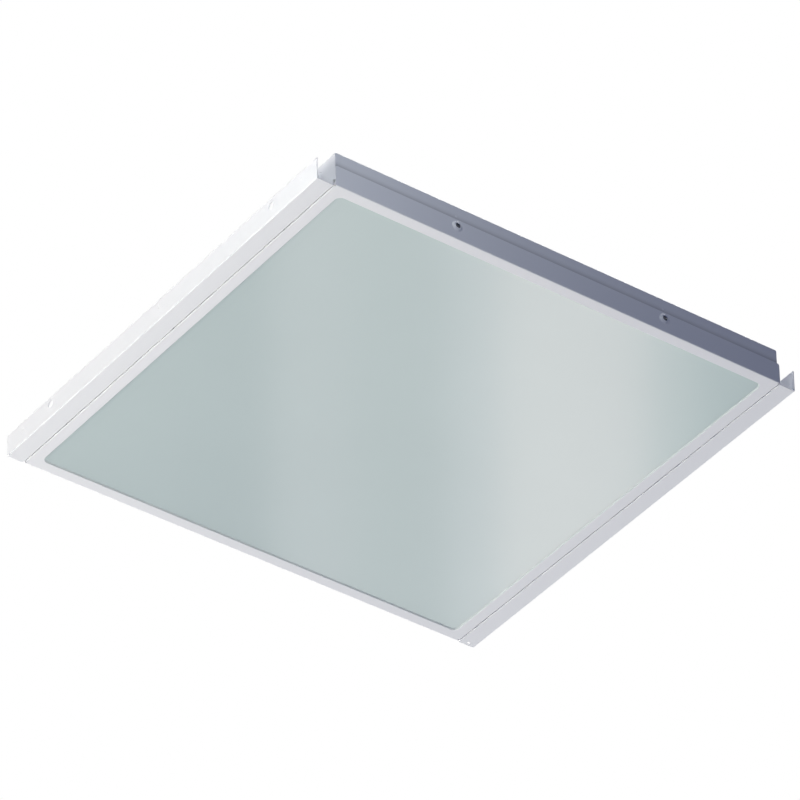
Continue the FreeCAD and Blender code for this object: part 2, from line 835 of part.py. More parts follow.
def gear_box():
    outer = block(-box_half_x, box_half_x, -box_half_y, box_half_y, pan_top, box_top_z)
    inner = block(-box_half_x + box_sheet, box_half_x - box_sheet, -box_half_y + box_sheet,
                  box_half_y - box_sheet, box_floor_z, box_top_z + 1)
    body = outer.cut(inner)
    tools = [
        rod(6.0, 4, V(grommet_x, 0, pan_top - 1)),
        rod(gland_thread_r, 6, V(box_half_x - 3, gland_y, gland_z), V(1, 0, 0)),
        rod(gland_thread_r, 6, V(-box_half_x + 3, gland_y, gland_z), V(-1, 0, 0)),
    ]
    for x, y in roof_screw_places() + driver_screw_places():
        tools.append(rod(small_screw_r, 4, V(x, y, pan_top - 1)))
    for x, sign in lid_screw_places():
        tools.append(rod(small_screw_r, 4, V(x, sign * (box_half_y - 2), lid_screw_z), V(0, sign, 0)))
    return cut(body, tools)


def lid_screw_places():
    return [(x, sign) for x in (-120.0, 120.0) for sign in (-1, 1)]


def gear_box_lid():
    top = pan_top + box_height
    outer = block(-box_half_x - box_sheet, box_half_x + box_sheet, -box_half_y - box_sheet,
                  box_half_y + box_sheet, top - lid_skirt, top + box_sheet)
    outer = outer.makeFillet(1.2, top_edges(outer))
    inner = block(-box_half_x, box_half_x, -box_half_y, box_half_y, top - lid_skirt - 1, top)
    body = outer.cut(inner)
    tools = []
    for x, sign in lid_screw_places():
        tools.append(rod(small_screw_r, 4, V(x, sign * (box_half_y - 1), lid_screw_z), V(0, sign, 0)))
    for x in spread(lid_slot_count, lid_slot_pitch):
        low = driver_x + x - lid_slot_width / 2
        tools.append(block(low, low + lid_slot_width, -12, 12, top - 1, top + 2))
    return cut(body, tools)


def lid_screws():
    screws = []
    for x, sign in lid_screw_places():
        seat = V(x, sign * (box_half_y + box_sheet), lid_screw_z)
        screws.append(screw(3.2, 2.2, small_screw_r, 5.0, seat, V(0, -sign, 0)))
    return Part.makeCompound(screws)


def led_driver():
    x0 = driver_x - driver_length / 2
    x1 = driver_x + driver_length / 2
    case = block(x0, x1, -driver_width / 2, driver_width / 2, box_floor_z, box_floor_z + driver_height)
    case = case.makeFillet(2.0, [e for e in case.Edges if e.BoundBox.ZMin > box_floor_z + 1e-6
                                 or e.BoundBox.ZLength > 1])
    ear_low = block(x0 - 9, x0 + 2, -9, 9, box_floor_z, box_floor_z + 2.0)
    ear_high = block(x1 - 2, x1 + 9, -9, 9, box_floor_z, box_floor_z + 2.0)
    body = fuse([case, ear_low, ear_high])
    tools = [rod(small_screw_r, 6, V(x, y, box_floor_z - 1)) for x, y in driver_screw_places()]
    for sign, x, radius in ((1, x1, mains_wire_r), (-1, x0, light_wire_r)):
        for y in (-driver_pole_y, driver_pole_y):
            tools.append(rod(radius, 8, V(x - sign * 6, y, driver_lead_z), V(sign, 0, 0)))
    return cut(body, tools)


def driver_screw_places():
    return [(driver_x - driver_length / 2 - 5, 0), (driver_x + driver_length / 2 + 5, 0)]


def driver_screws():
    screws = []
    for x, y in driver_screw_places():
        seat = V(x, y, box_floor_z + 2.0)
        screws.append(screw(3.2, 2.2, small_screw_r, 2.8, seat, V(0, 0, -1)))
    return Part.makeCompound(screws)


def terminal_block():
    x0 = terminal_x - terminal_length / 2
    x1 = terminal_x + terminal_length / 2
    top = box_floor_z + terminal_height
    body = block(x0, x1, -terminal_width / 2, terminal_width / 2, box_floor_z, top)
    body = body.makeFillet(0.8, top_edges(body))
    tools = []
    for y in spread(3, pole_pitch):
        tools.append(block(terminal_x - 3.2, terminal_x + 3.2, y - 2.7, y + 2.7, top - 9.0, top - button_roof))
        tools.append(block(terminal_x - 2.4, terminal_x + 2.4, y - 2.1, y + 2.1, top - 2.0, top + 1))
        tools.append(rod(1.5, 9, V(x1 - 6, y, lead_z), V(1, 0, 0)))
        tools.append(rod(mains_wire_r, 9, V(x0 - 1, y, lead_z), V(1, 0, 0)))
    return cut(body, tools)


def terminal_button(y):
    """Push button that opens one pole: a wide foot under the block's top and a stem through it."""
    top = box_floor_z + terminal_height
    foot = block(terminal_x - 2.8, terminal_x + 2.8, y - 2.3, y + 2.3, top - 6.5, top - button_roof - 0.3)
    stem = block(terminal_x - 2.0, terminal_x + 2.0, y - 1.7, y + 1.7, top - 6.5, top + 2.2)
    stem = stem.makeFillet(0.5, top_edges(stem))
    slot = block(terminal_x - 1.5, terminal_x + 1.5, y - 0.4, y + 0.4, top + 1.6, top + 3)
    return fuse([foot, stem]).cut(slot)


def gland_body():
    outside = box_half_x
    thread = rod(gland_thread_r - 0.1, 10, V(outside - 7, gland_y, gland_z), V(1, 0, 0))
    grip = hexagon(19.0, 6.0, 0, V(outside, gland_y, gland_z), V(1, 0, 0))
    collar = rod(8.6, 8.0, V(outside + 5, gland_y, gland_z), V(1, 0, 0))
    body = fuse([thread, grip, collar])
    bore = rod(6.0, 22, V(outside - 8, gland_y, gland_z), V(1, 0, 0))
    return body.cut(bore)


def gland_dome():
    start = box_half_x + 7.0
    outline = [
        (8.7, 0), (10.4, 0), (10.4, 8.0), (9.2, 12.0), (6.2, 14.0),
        (4.6, 14.0), (4.6, 12.0), (6.3, 9.0), (8.7, 7.0),
    ]
    dome = turned(outline, V(start, gland_y, gland_z), V(1, 0, 0))
    tools = []
    for k in range(12):
        turn = math.radians(30 * k)
        at = V(start - 1, gland_y + 11.6 * math.cos(turn), gland_z + 11.6 * math.sin(turn))
        tools.append(rod(1.6, 9.5, at, V(1, 0, 0)))
    return cut(dome, tools)


def gland_seal():
    start = box_half_x - 2.0
    outline = [(gland_bore_r, 0), (5.9, 0), (5.9, 16.4), (5.2, 17.6), (gland_bore_r, 17.6)]
    return turned(outline, V(start, gland_y, gland_z), V(1, 0, 0))


def gland_nut():
    inner_wall = box_half_x - box_sheet
    return hexagon(20.0, 4.0, gland_thread_r - 0.1, V(inner_wall - 4.0, gland_y, gland_z), V(1, 0, 0))


def blanking_plug():
    outline = [
        (0, -2.2), (gland_thread_r - 0.3, -2.2), (gland_thread_r - 0.3, -box_sheet),
        (gland_thread_r - 0.05, -box_sheet), (gland_thread_r - 0.05, 0),
        (10.0, 0), (9.6, 1.4), (8.6, 1.8), (0, 1.8),
    ]
    return turned(outline, V(-box_half_x, gland_y, gland_z), V(-1, 0, 0))


def roof_grommet():
    low = pan_top - pan_sheet
    grip = pan_sheet + box_sheet
    outline = [
        (3.2, -1.2), (7.6, -1.2), (7.6, 0), (6.0, 0), (6.0, grip),
        (7.6, grip), (7.6, grip + 1.6), (3.2, grip + 1.6),
    ]
    return turned(outline, V(grommet_x, 0, low), UP)


def reflector_grommet():
    outline = [
        (3.2, -1.4), (6.4, -1.4), (6.4, 0), (reflector_hole_r, 0), (reflector_hole_r, reflector_sheet),
        (6.4, reflector_sheet), (6.4, 1.8), (3.2, 1.8),
    ]
    return turned(outline, V(reflector_hole_x, reflector_hole_y, reflector_under_z), UP)


def earth_stud():
    bush = rod(4.5, earth_bush_height, V(earth_x, earth_y, box_floor_z))
    stud = rod(2.0, 11.0, V(earth_x, earth_y, box_floor_z))
    return fuse([stud, bush])


def earth_nut():
    z = box_floor_z + earth_bush_height + tag_sheet
    return hexagon(7.0, 3.2, 2.0, V(earth_x, earth_y, z))


def earth_tag():
    """Ring tag crimped on the end of the earth lead."""
    z = box_floor_z + earth_bush_height
    ring = rod(4.2, tag_sheet, V(earth_x, earth_y, z))
    tongue = block(earth_x - 1.6, earth_x + 1.6, earth_y - 9, earth_y, z, z + tag_sheet)
    barrel = rod(1.6, 5.0, V(earth_x, earth_y - 13, lead_z), V(0, 1, 0))
    stud_hole = rod(2.0, 4, V(earth_x, earth_y, z - 1))
    lead_hole = rod(mains_wire_r, 4.0, V(earth_x, earth_y - 13, lead_z), V(0, 1, 0))
    return cut(fuse([ring, tongue, barrel]), [stud_hole, lead_hole])


def terminal_pole(y):
    return V(terminal_x - terminal_length / 2 + 4.0, y, lead_z)


def mains_lead(y, driver_y, turn_x):
    """From the terminal block to the driver's input end."""
    start = terminal_pole(y)
    stop = V(driver_x + driver_length / 2 - 4.0, driver_y, driver_lead_z)
    points = [start, V(turn_x + 10, y, lead_z), V(turn_x - 8, driver_y, driver_lead_z), stop]
    return wire_tube(points, mains_wire_r, 14.0)


def earth_lead():
    start = terminal_pole(pole_pitch)
    points = [start, V(earth_x, pole_pitch, lead_z), V(earth_x, earth_y - 9.5, lead_z)]
    return wire_tube(points, mains_wire_r, 10.0)


def light_lead(side):
    """From the driver, through the roof and over the reflector, down to the chain of boards."""
    over = reflector_top_z + 3.6
    down = V(grommet_x + side * 1.1, 0, 0)
    through = V(reflector_hole_x + side * 1.6, reflector_hole_y, 0)
    board = board_end(board_count - 1, 1) if side > 0 else board_end(0, -1)
    points = [
        V(driver_x - driver_length / 2 + 4.0, side * -driver_pole_y, driver_lead_z),
        V(down.x, side * -driver_pole_y, driver_lead_z),
        V(down.x, 0, driver_lead_z),
        V(down.x, 0, over),
        V(through.x, -60.0, over),
        V(through.x, reflector_hole_y, over),
        V(through.x, reflector_hole_y, connector_z),
        V(board.x, reflector_hole_y, connector_z),
        board,
    ]
    return wire_tube(points, light_wire_r, 4.5)


def main():
    os.makedirs("parts", exist_ok=True)
    shapes = {
        "glass_frame": glass_frame(),
        "glass_pane": glass_pane(),
        "glass_gasket": glass_gasket(),
        "opal_diffuser": opal_diffuser(),
        "glass_retainer_near": glass_retainer_near(),
        "glass_retainer_far": glass_retainer_far(),
        "glass_retainer_left": glass_retainer_left(),
        "glass_retainer_right": glass_retainer_right(),
        "retainer_studs": retainer_studs(),
        "retainer_nuts": retainer_nuts(),
        "door_hinge_knuckles": door_hinge_knuckles(),
        "hinge_pins": hinge_pins(),
        "hinge_leaves": hinge_leaves(),
        "hinge_rivets": hinge_rivets(),
        "housing_pan": housing_pan(),
        "side_rail_left": side_rail_left(),
        "side_rail_right": side_rail_right(),
        "rail_rivets": rail_rivets(),
        "catch_springs_near": catch_springs(-1),
        "catch_springs_far": catch_springs(1),
        "catch_rivets": catch_rivets(),
        "door_seal": door_seal(),
        "reflector": reflector(),
        "reflector_standoffs": reflector_standoffs(),
        "reflector_screws": reflector_screws(),
        "roof_screws": roof_screws(),
        "led_chips": led_chips(),
        "board_rivets": board_rivets(),
        "board_connectors": board_connectors(),
        "gear_box": gear_box(),
        "gear_box_lid": gear_box_lid(),
        "lid_screws": lid_screws(),
        "led_driver": led_driver(),
        "driver_screws": driver_screws(),
        "terminal_block": terminal_block(),
        "gland_body": gland_body(),
        "gland_dome": gland_dome(),
        "gland_seal": gland_seal(),
        "gland_nut": gland_nut(),
        "blanking_plug": blanking_plug(),
        "roof_grommet": roof_grommet(),
        "earth_stud": earth_stud(),
        "earth_nut": earth_nut(),
        "earth_tag": earth_tag(),
        "live_lead": mains_lead(-pole_pitch, -driver_pole_y, 50.0),
        "neutral_lead": mains_lead(0.0, driver_pole_y, 46.0),
        "earth_lead": earth_lead(),
        "light_lead_plus": light_lead(-1),
        "light_lead_minus": light_lead(1),
        "board_links": board_links(),
        "wire_clips": wire_clips(),
        "reflector_grommet": reflector_grommet(),
    }
    for k, x in enumerate(spread(board_count, board_pitch)):
        shapes["led_board_%d" % (k + 1)] = led_board(x)
    for name, y in zip(("live", "neutral", "earth"), spread(3, pole_pitch)):
        shapes["terminal_button_" + name] = terminal_button(y)
    for name, shape in shapes.items():
        if not shape.isValid():
            print("NOT VALID", name)
        print("%-24s solids %d  volume %.1f  box %s" % (name, len(shape.Solids), shape.Volume, shape.BoundBox))
        shape.exportStep("parts/%s.step" % name)


main()
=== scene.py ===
import json

import bmesh
import bpy
from mathutils import Matrix, Vector


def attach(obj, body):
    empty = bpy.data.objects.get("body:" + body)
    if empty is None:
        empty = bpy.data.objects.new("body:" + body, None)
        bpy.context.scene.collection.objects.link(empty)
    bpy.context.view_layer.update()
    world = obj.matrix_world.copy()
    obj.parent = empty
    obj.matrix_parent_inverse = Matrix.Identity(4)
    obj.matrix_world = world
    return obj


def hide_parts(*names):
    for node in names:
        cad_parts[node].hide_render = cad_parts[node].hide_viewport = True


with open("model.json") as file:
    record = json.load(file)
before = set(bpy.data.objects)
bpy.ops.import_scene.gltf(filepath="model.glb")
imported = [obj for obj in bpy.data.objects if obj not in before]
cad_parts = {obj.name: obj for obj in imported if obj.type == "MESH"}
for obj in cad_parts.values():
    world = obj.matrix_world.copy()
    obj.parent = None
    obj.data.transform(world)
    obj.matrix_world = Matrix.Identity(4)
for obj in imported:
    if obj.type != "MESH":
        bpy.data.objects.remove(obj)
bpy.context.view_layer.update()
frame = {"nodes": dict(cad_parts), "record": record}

# Recessed ceiling light seen from below, in metres. X runs across the side rails, Y along them, Z up.
scene = bpy.context.scene
nodes = frame["nodes"]
print("frame loaded:", len(nodes), "nodes")


cameraSet = {
    "place": (-3.47941, -4.70602, -4.44355),  # below the light, looking up at its near corner
    "right": (0.809650, -0.586777, -0.012615),
    "down": (0.348409, 0.497819, -0.794221),
    "lens": 297.6,
    "sensor": 36.0,
    "nearest": 0.1,
    "furthest": 100.0,
}

stageSet = {
    "floorDrop": 9.0,  # the floor lies below the camera
    "floorSize": 160.0,
    "skyLight": (0.004, 0.018, 0.10),  # what the room itself sends to matt surfaces
    "backdrop": 1.0,
}

# each lamp is a soft square panel that points at the middle of the light
lampSet = {
    "leftNear": {"place": (-1.5, 0.0, -0.9), "size": 0.7, "power": 12.3, "color": (1.0, 0.96, 0.84)},
    "leftBack": {"place": (-2.6, 2.4, -0.6), "size": 1.2, "power": 62.0, "color": (1.0, 0.99, 0.95)},
    "leftHigh": {"place": (-3.0, -0.1, 1.2), "size": 1.2, "power": 5.0, "color": (1.0, 0.88, 0.66)},
    "below": {"place": (-0.4, 0.8, -3.6), "size": 1.8, "power": 28.0, "color": (0.99, 1.0, 0.98)},
    "belowFar": {"place": (0.6, 3.2, -2.6), "size": 1.6, "power": 19.0, "color": (1.0, 0.99, 0.85)},
    "frontNear": {"place": (-0.85, -0.85, 0.05), "size": 0.3, "power": 3.2, "color": (0.95, 1.0, 1.0)},
    "right": {"place": (4.0, 0.6, -0.9), "size": 2.4, "power": 70.0, "color": (0.97, 0.98, 1.0)},
    "back": {"place": (0.4, 4.2, 0.8), "size": 2.4, "power": 74.0, "color": (0.98, 0.99, 1.0)},
    "above": {"place": (1.8, 1.2, 4.0), "size": 2.6, "power": 143.0, "color": (0.99, 0.99, 1.0)},
}

# upright panels that the glass mirrors to the camera, side by side as the camera sees them
bandSet = {
    "distance": 13.3,  # from the camera by way of the glass
    "height": 3.0,
    "panels": [
        {"left": -0.26, "width": 0.16, "power": 1.9, "color": (1.0, 0.93, 0.90)},
        {"left": -0.10, "width": 0.20, "power": 1.8, "color": (0.95, 1.0, 0.88)},
        {"left": 0.10, "width": 0.10, "power": 1.9, "color": (1.0, 0.98, 0.96)},
        {"left": 0.20, "width": 0.30, "power": 10.2, "color": (1.0, 0.90, 0.84)},
        {"left": 0.50, "width": 0.10, "power": 1.9, "color": (0.93, 1.0, 0.90)},
        {"left": 0.60, "width": 0.12, "power": 1.2, "color": (0.75, 1.0, 0.86)},
    ],
}


def makeCamera():
    data = bpy.data.cameras.new("photoCamera")
    data.lens = cameraSet["lens"]
    data.sensor_width = cameraSet["sensor"]
    data.clip_start = cameraSet["nearest"]
    data.clip_end = cameraSet["furthest"]
    camera = bpy.data.objects.new("photoCamera", data)
    scene.collection.objects.link(camera)
    right = Vector(cameraSet["right"]).normalized()
    up = -Vector(cameraSet["down"]).normalized()
    turn = Matrix((right, up, right.cross(up))).transposed()
    camera.matrix_world = Matrix.Translation(cameraSet["place"]) @ turn.to_4x4()
    scene.camera = camera


def makeFloor():
    mesh = bpy.data.meshes.new("studioFloor")
    shape = bmesh.new()
    bmesh.ops.create_grid(shape, x_segments=1, y_segments=1, size=stageSet["floorSize"] / 2)
    bmesh.ops.translate(shape, verts=shape.verts, vec=(0, 0, -stageSet["floorDrop"]))
    shape.to_mesh(mesh)
    shape.free()
    floor = bpy.data.objects.new("studioFloor", mesh)
    scene.collection.objects.link(floor)
    return floor


# a soft lamp that lights the object, but that the camera doesn't see
def makePanel(name, width, height, power, color, place, turn):
    data = bpy.data.lights.new(name, "AREA")
    data.shape = "RECTANGLE"
    data.size = width
    data.size_y = height
    data.energy = power
    data.color = color
    panel = bpy.data.objects.new(name, data)
    scene.collection.objects.link(panel)
    panel.matrix_world = Matrix.Translation(place) @ turn.to_4x4()
    panel.visible_camera = False


def makeLamps():
    for name, lamp in lampSet.items():
        place = Vector(lamp["place"])
        turn = (-place).to_track_quat("-Z", "Y").to_matrix()
        makePanel(name, lamp["size"], lamp["size"], lamp["power"], lamp["color"], place, turn)


def makeBands():
    mirror = Vector((1, 1, -1))  # the glass is level, so its image of the camera looks down from above
    eye = Vector(cameraSet["place"]) * mirror
    right = Vector(cameraSet["right"]).normalized() * mirror
    up = -Vector(cameraSet["down"]).normalized() * mirror
    ahead = right.cross(up)
    turn = Matrix((right, up, ahead)).transposed()
    for number, panel in enumerate(bandSet["panels"]):
        middle = panel["left"] + panel["width"] / 2
        place = eye + ahead * bandSet["distance"] + right * middle
        makePanel(f"band{number}", panel["width"], bandSet["height"], panel["power"], panel["color"],
                  place, turn)


# white where the camera sees it or where glass and metal mirror it, and dim blue to matt surfaces
def makeSky():
    world = bpy.data.worlds.new("studioSky")
    scene.world = world
    world.use_nodes = True
    tree = world.node_tree
    tree.nodes.clear()
    white = stageSet["backdrop"]
    seen = addNode(tree, "ShaderNodeBackground", {"Color": (white, white, white, 1), "Strength": 1.0})
    glow = addNode(tree, "ShaderNodeBackground", {"Color": (*stageSet["skyLight"], 1), "Strength": 1.0})
    path = addNode(tree, "ShaderNodeLightPath")
    direct = addNode(tree, "ShaderNodeMath", {
        0: path.outputs["Is Camera Ray"], 1: path.outputs["Is Glossy Ray"],
    }, operation="MAXIMUM")
    both = addNode(tree, "ShaderNodeMath", {
        0: direct.outputs[0], 1: path.outputs["Is Transmission Ray"],
    }, operation="MAXIMUM")
    mix = addNode(tree, "ShaderNodeMixShader", {0: both.outputs[0], 1: glow.outputs[0], 2: seen.outputs[0]})
    addNode(tree, "ShaderNodeOutputWorld", {"Surface": mix.outputs[0]})


def hexColor(code):
    channels = [int(code[i:i + 2], 16) / 255 for i in (1, 3, 5)]
    linear = [c / 12.92 if c <= 0.04045 else ((c + 0.055) / 1.055) ** 2.4 for c in channels]
    return (*linear, 1.0)


# inputs are numbers, colours or the sockets that feed them; settings are the node's own
def addNode(tree, kind, inputs=None, **settings):
    node = tree.nodes.new(kind)
    for key, value in settings.items():
        setattr(node, key, value)
    for key, value in (inputs or {}).items():
        if isinstance(value, bpy.types.NodeSocket):
            tree.links.new(value, node.inputs[key])
        else:
            node.inputs[key].default_value = value
    return node


# what every finish has: two close colours in soft clouds, a gloss that follows them, and a grain in relief
def makeFinish(name, low, high, cloud, rough, grain, depth, spread=0.1, metal=0.0, ior=1.5):
    material = bpy.data.materials.new(name)
    material.use_nodes = True
    tree = material.node_tree
    shader = tree.nodes["Principled BSDF"]
    shader.inputs["Metallic"].default_value = metal
    shader.inputs["IOR"].default_value = ior
    point = addNode(tree, "ShaderNodeTexCoord").outputs["Object"]
    clouds = addNode(tree, "ShaderNodeTexNoise", {"Vector": point, "Scale": 1.0 / cloud, "Detail": 3.0})
    color = addNode(tree, "ShaderNodeMix", {
        "Factor": clouds.outputs["Fac"], "A": hexColor(low), "B": hexColor(high),
    }, data_type="RGBA")
    gloss = addNode(tree, "ShaderNodeMapRange", {
        "Value": clouds.outputs["Fac"], "To Min": rough - spread / 2, "To Max": rough + spread / 2,
    })
    grains = addNode(tree, "ShaderNodeTexNoise", {"Vector": point, "Scale": 1.0 / grain, "Detail": 2.0})
    relief = addNode(tree, "ShaderNodeBump", {"Height": grains.outputs["Fac"], "Distance": depth})
    tree.links.new(color.outputs["Result"], shader.inputs["Base Color"])
    tree.links.new(gloss.outputs["Result"], shader.inputs["Roughness"])
    tree.links.new(relief.outputs["Normal"], shader.inputs["Normal"])
    return {"material": material, "tree": tree, "shader": shader, "point": point,
            "color": color.outputs["Result"], "grains": grains, "relief": relief}


# painted shadow: a dark line on the pan just above the door's edge, standing in for the shade under the
# door's wall
shadowLineSet = {
    "color": "#202226",
    "bottom": 0.0268,  # the door's wall ends here, and the painted shadow starts on the pan just above it
    "height": 0.011,
    "curve": 2.0,  # how fast the painted shadow fades on the way up
    "share": 0.60,
    "wallY": 0.2974,  # only the near and far walls of the pan are this far out
}


# the coat of the pan: a painted shadow, a grey line that fades upwards from the door's edge, where the
# door's wall shades the pan
def addPaintedShadowLine(finish):
    tree = finish["tree"]
    apart = addNode(tree, "ShaderNodeSeparateXYZ", {"Vector": finish["point"]})
    fade = addNode(tree, "ShaderNodeMapRange", {
        "Value": apart.outputs["Z"], "From Min": shadowLineSet["bottom"],
        "From Max": shadowLineSet["bottom"] + shadowLineSet["height"], "To Min": 1.0, "To Max": 0.0,
    })
    curve = addNode(tree, "ShaderNodeMath", {0: fade.outputs["Result"], 1: shadowLineSet["curve"]},
                    operation="POWER")
    away = addNode(tree, "ShaderNodeMath", {0: apart.outputs["Y"]}, operation="ABSOLUTE")
    wall = addNode(tree, "ShaderNodeMath", {0: away.outputs[0], 1: shadowLineSet["wallY"]},
                   operation="GREATER_THAN")
    there = addNode(tree, "ShaderNodeMath", {0: curve.outputs[0], 1: wall.outputs[0]},
                    operation="MULTIPLY")
    share = addNode(tree, "ShaderNodeMath", {0: there.outputs[0], 1: shadowLineSet["share"]},
                    operation="MULTIPLY")
    # painted shadow: the coat darkens towards the shadow colour just above the door's edge
    shaded = addNode(tree, "ShaderNodeMix", {
        "Factor": share.outputs[0], "A": finish["color"], "B": hexColor(shadowLineSet["color"]),
    }, data_type="RGBA")
    tree.links.new(shaded.outputs["Result"], finish["shader"].inputs["Base Color"])


boardSet = {
    "track": "#DCDACB",  # copper under the white mask shows through as a warmer grey
    "pitch": 0.13,  # from board to board
    "first": -0.195,  # the middle of the board furthest left
    "trackMiddle": 0.0038,  # from the middle of the row of chips
    "trackHalf": 0.0008,
}


# two copper tracks along each row of chips: warmer than the mask over them, and a little raised
def addTracks(finish):
    tree = finish["tree"]
    half = boardSet["pitch"] / 2
    apart = addNode(tree, "ShaderNodeSeparateXYZ", {"Vector": finish["point"]})
    start = addNode(tree, "ShaderNodeMath", {0: apart.outputs["X"], 1: half - boardSet["first"]},
                    operation="ADD")
    across = addNode(tree, "ShaderNodeMath", {0: start.outputs[0], 1: boardSet["pitch"]},
                     operation="FLOORED_MODULO")
    side = addNode(tree, "ShaderNodeMath", {0: across.outputs[0], 1: half}, operation="SUBTRACT")
    away = addNode(tree, "ShaderNodeMath", {0: side.outputs[0]}, operation="ABSOLUTE")
    track = addNode(tree, "ShaderNodeMath", {
        0: away.outputs[0], 1: boardSet["trackMiddle"], 2: boardSet["trackHalf"],
    }, operation="COMPARE")
    color = addNode(tree, "ShaderNodeMix", {
        "Factor": track.outputs[0], "A": finish["color"], "B": hexColor(boardSet["track"]),
    }, data_type="RGBA")
    raised = addNode(tree, "ShaderNodeMath", {0: finish["grains"].outputs["Fac"], 1: track.outputs[0]},
                     operation="ADD")
    tree.links.new(color.outputs["Result"], finish["shader"].inputs["Base Color"])
    tree.links.new(raised.outputs[0], finish["relief"].inputs["Height"])


# drawn or rolled metal: the grain is long one way, as fine scratches
def addScratches(finish, stretch):
    along = addNode(finish["tree"], "ShaderNodeMapping", {"Vector": finish["point"], "Scale": stretch})
    finish["tree"].links.new(along.outputs["Vector"], finish["grains"].inputs["Vector"])


stripeSet = {
    "yellow": "#E0C81C",
    "waves": 60.0,  # bands 5 mm apart, coarser than on the real lead, so that they show
    "wander": 0.6,
    "edge": (0.45, 0.55),  # where in the wave the green turns yellow
}


# earth lead: yellow bands over the green
def addStripes(finish):
    tree = finish["tree"]
    wave = addNode(tree, "ShaderNodeTexWave", {
        "Vector": finish["point"], "Scale": stripeSet["waves"], "Distortion": stripeSet["wander"],
    }, bands_direction="Z")
    green, yellow = stripeSet["edge"]
    sharp = addNode(tree, "ShaderNodeMapRange", {
        "Value": wave.outputs["Fac"], "From Min": green, "From Max": yellow,
    })
    color = addNode(tree, "ShaderNodeMix", {
        "Factor": sharp.outputs["Result"], "A": finish["color"], "B": hexColor(stripeSet["yellow"]),
    }, data_type="RGBA")
    tree.links.new(color.outputs["Result"], finish["shader"].inputs["Base Color"])


